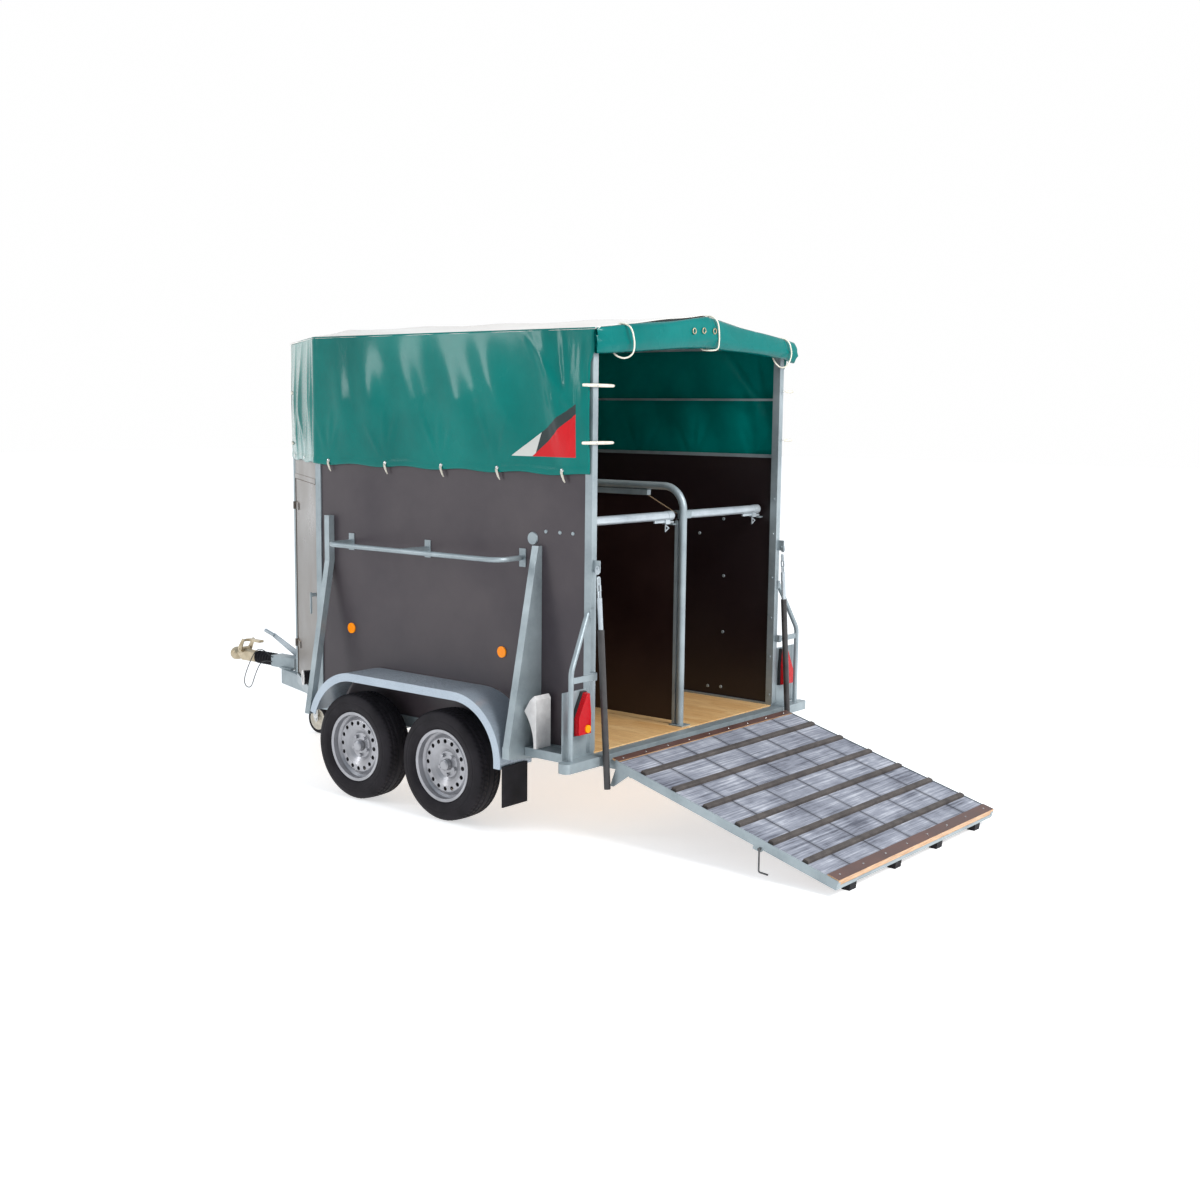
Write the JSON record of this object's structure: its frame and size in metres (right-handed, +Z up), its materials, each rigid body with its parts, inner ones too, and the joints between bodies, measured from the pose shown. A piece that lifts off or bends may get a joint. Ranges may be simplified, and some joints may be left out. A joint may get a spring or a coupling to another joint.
{
  "type": "livestock trailer",
  "caption": "Covered braked livestock trailer with tandem wheels, centre partition, rump bars, nose entry door, overrun drawbar and a spring-assisted rear loading ramp.",
  "frame": {"origin": "on the ground, on the centre plane, midway between the coupling's tip and the lowered ramp's end", "axes": "+Y the driving direction towards the coupling, +X the vehicle's right, +Z up"},
  "size_m": [2.26, 5.5227, 2.7119],
  "materials": {
    "galvanised_steel": "hot-dip galvanised, dull spangle",
    "film_faced_plywood": "dark brown phenolic film with a fine texture",
    "floor_wood": "honey-coloured sealed boards",
    "green_tarpaulin": "glossy PVC-coated cloth",
    "white_tarpaulin": "glossy PVC-coated cloth, translucent white",
    "white_webbing": "woven white strap",
    "white_rope": "twisted white rope",
    "tyre_rubber": "matt black, treaded",
    "rim_silver": "silver powder coat",
    "black_rubber": "moulded black rubber",
    "grey_rubber": "ribbed grey rubber mat, worn pale",
    "red_lens": "clear red moulded lens",
    "amber_lens": "prismatic amber lens",
    "black_plastic": "moulded",
    "white_plastic": "moulded",
    "black_paint": "satin black powder coat",
    "cast_steel": "passivated casting"
  },
  "bodies": {
    "trailer": {"chassis_rails": "galvanised_steel", "drawbar_beams": "galvanised_steel", "floor_board": "floor_wood", "rear_crossbeam": "galvanised_steel", "rear_posts": "galvanised_steel", "front_posts": "galvanised_steel", "roof_frame": "galvanised_steel", "side_walls": "film_faced_plywood", "nose_panels": "film_faced_plywood", "handrail": "galvanised_steel", "fenders": "galvanised_steel", "mudflaps": "black_rubber", "fender_supports": "galvanised_steel", "light_guards": "galvanised_steel", "lamp_housings": "black_plastic", "red_lenses": "red_lens", "amber_lenses": "amber_lens", "wheel_chock": "white_plastic", "axle_tubes": "galvanised_steel", "partition_frame": "galvanised_steel", "partition_panel": "film_faced_plywood", "roof_tarp": "white_tarpaulin", "tarp_walls": "green_tarpaulin", "rear_curtain": "green_tarpaulin", "curtain_ties": "white_rope", "tarp_fasteners": "white_webbing", "wall_bolts": "galvanised_steel", "overrun_housing": "galvanised_steel", "bellows": "black_rubber", "breakaway_cable": "black_paint"},
    "door": {"entry_door": "film_faced_plywood"},
    "door_lever": {"door_handle": "galvanised_steel"},
    "ramp": {"ramp_frame": "galvanised_steel", "ramp_board": "film_faced_plywood", "ramp_mat": "grey_rubber", "ramp_feet": "black_rubber"},
    "latch_left": {"ramp_latch_left": "galvanised_steel"},
    "latch_right": {"ramp_latch_right": "galvanised_steel"},
    "spring_uppers": {"spring_rods": "galvanised_steel"},
    "spring_lowers": {"spring_sleeves": "black_paint"},
    "bar_left": {"rump_bar_left": "galvanised_steel"},
    "bar_right": {"rump_bar_right": "galvanised_steel"},
    "coupling": {"coupling_head": "cast_steel"},
    "coupling_lever": {"coupling_handle": "cast_steel"},
    "brake_lever": {"handbrake_lever": "galvanised_steel"},
    "jockey_leg": {"jockey_leg": "galvanised_steel"},
    "jockey_fork": {"jockey_fork": "galvanised_steel"},
    "jockey_wheel": {"jockey_wheel": "black_rubber"},
    "arm_front_left": {"arm_front_left": "galvanised_steel"},
    "wheel_front_left": {"tyre_front_left": "tyre_rubber", "rim_front_left": "rim_silver"},
    "arm_front_right": {"arm_front_right": "galvanised_steel"},
    "wheel_front_right": {"tyre_front_right": "tyre_rubber", "rim_front_right": "rim_silver"},
    "arm_rear_left": {"arm_rear_left": "galvanised_steel"},
    "wheel_rear_left": {"tyre_rear_left": "tyre_rubber", "rim_rear_left": "rim_silver"},
    "arm_rear_right": {"arm_rear_right": "galvanised_steel"},
    "wheel_rear_right": {"tyre_rear_right": "tyre_rubber", "rim_rear_right": "rim_silver"}
  },
  "joints": [
    {"name": "ramp_hinge", "type": "hinge", "parent": "trailer", "child": "ramp", "pos_m": [0, -1.42843, 0.42097], "axis": [1, 0, 0], "range_deg": [-105.4, 0]},
    {"name": "latch_left_swing", "type": "hinge", "parent": "ramp", "child": "latch_left", "pos_m": [-0.833, -2.3346, 0.15], "axis": [1, 0, 0], "range_deg": [0, 170]},
    {"name": "latch_right_swing", "type": "hinge", "parent": "ramp", "child": "latch_right", "pos_m": [0.833, -2.3346, 0.15], "axis": [1, 0, 0], "range_deg": [0, 170]},
    {"name": "spring_swing", "type": "hinge", "parent": "trailer", "child": "spring_uppers", "pos_m": [0, -1.3566, 1.41], "axis": [1, 0, 0], "range_deg": [-7.95, 0]},
    {"name": "spring_slide", "type": "slide", "parent": "spring_uppers", "child": "spring_lowers", "axis": [0, 0.0668, 0.9978], "range_m": [0, 0.152]},
    {"name": "door_hinge", "type": "hinge", "parent": "trailer", "child": "door", "pos_m": [-0.40993, 1.54212, 1.1], "axis": [0, 0, -1], "range_deg": [0, 120]},
    {"name": "door_handle_turn", "type": "hinge", "parent": "door", "child": "door_lever", "pos_m": [-0.82346, 0.84864, 1.085], "axis": [0.8515, -0.5243, 0], "range_deg": [0, 90]},
    {"name": "rump_bar_left_lift", "type": "hinge", "parent": "trailer", "child": "bar_left", "pos_m": [-0.792, -1.2086, 1.63], "axis": [0, -1, 0], "range_deg": [0, 75]},
    {"name": "rump_bar_right_lift", "type": "hinge", "parent": "trailer", "child": "bar_right", "pos_m": [0.082, -1.2086, 1.63], "axis": [0, -1, 0], "range_deg": [0, 75]},
    {"name": "overrun_slide", "type": "slide", "parent": "trailer", "child": "coupling", "axis": [0, -1, 0], "range_m": [0, 0.08], "deforming": ["bellows"]},
    {"name": "coupling_lever_lift", "type": "hinge", "parent": "coupling", "child": "coupling_lever", "pos_m": [0, 2.6234, 0.471], "axis": [-1, 0, 0], "range_deg": [0, 60]},
    {"name": "handbrake_pull", "type": "hinge", "parent": "trailer", "child": "brake_lever", "pos_m": [0.0585, 2.0734, 0.466], "axis": [1, 0, 0], "range_deg": [0, 65]},
    {"name": "jockey_lift", "type": "slide", "parent": "trailer", "child": "jockey_leg", "axis": [0, 0, 1], "range_m": [0, 0.07]},
    {"name": "jockey_swivel", "type": "hinge", "parent": "jockey_leg", "child": "jockey_fork", "pos_m": [-0.098, 1.7334, 0.21], "axis": [0, 0, 1], "continuous": true},
    {"name": "jockey_wheel_spin", "type": "hinge", "parent": "jockey_fork", "child": "jockey_wheel", "pos_m": [-0.098, 1.6884, 0.1], "axis": [1, 0, 0], "continuous": true},
    {"name": "suspension_front_left", "type": "hinge", "parent": "trailer", "child": "arm_front_left", "pos_m": [-0.9, 0.3524, 0.35], "axis": [-1, 0, 0], "range_deg": [-6, 10], "stiffness_Nm_per_rad": 4500, "springref_deg": -3.15},
    {"name": "wheel_spin_front_left", "type": "hinge", "parent": "arm_front_left", "child": "wheel_front_left", "pos_m": [-1.02, 0.2074, 0.301], "axis": [1, 0, 0], "continuous": true},
    {"name": "suspension_front_right", "type": "hinge", "parent": "trailer", "child": "arm_front_right", "pos_m": [0.9, 0.3524, 0.35], "axis": [-1, 0, 0], "range_deg": [-6, 10], "stiffness_Nm_per_rad": 4500, "springref_deg": -3.15},
    {"name": "wheel_spin_front_right", "type": "hinge", "parent": "arm_front_right", "child": "wheel_front_right", "pos_m": [1.02, 0.2074, 0.301], "axis": [1, 0, 0], "continuous": true},
    {"name": "suspension_rear_left", "type": "hinge", "parent": "trailer", "child": "arm_rear_left", "pos_m": [-0.9, -0.3396, 0.35], "axis": [-1, 0, 0], "range_deg": [-6, 10], "stiffness_Nm_per_rad": 4500, "springref_deg": -3.15},
    {"name": "wheel_spin_rear_left", "type": "hinge", "parent": "arm_rear_left", "child": "wheel_rear_left", "pos_m": [-1.02, -0.4846, 0.301], "axis": [1, 0, 0], "continuous": true},
    {"name": "suspension_rear_right", "type": "hinge", "parent": "trailer", "child": "arm_rear_right", "pos_m": [0.9, -0.3396, 0.35], "axis": [-1, 0, 0], "range_deg": [-6, 10], "stiffness_Nm_per_rad": 4500, "springref_deg": -3.15},
    {"name": "wheel_spin_rear_right", "type": "hinge", "parent": "arm_rear_right", "child": "wheel_rear_right", "pos_m": [1.02, -0.4846, 0.301], "axis": [1, 0, 0], "continuous": true}
  ],
  "couplings": [
    {"joint": "spring_swing", "follows": "ramp_hinge", "ratio": 0.075},
    {"joint": "spring_slide", "follows": "ramp_hinge", "m_per_rad": -0.0821}
  ]
}
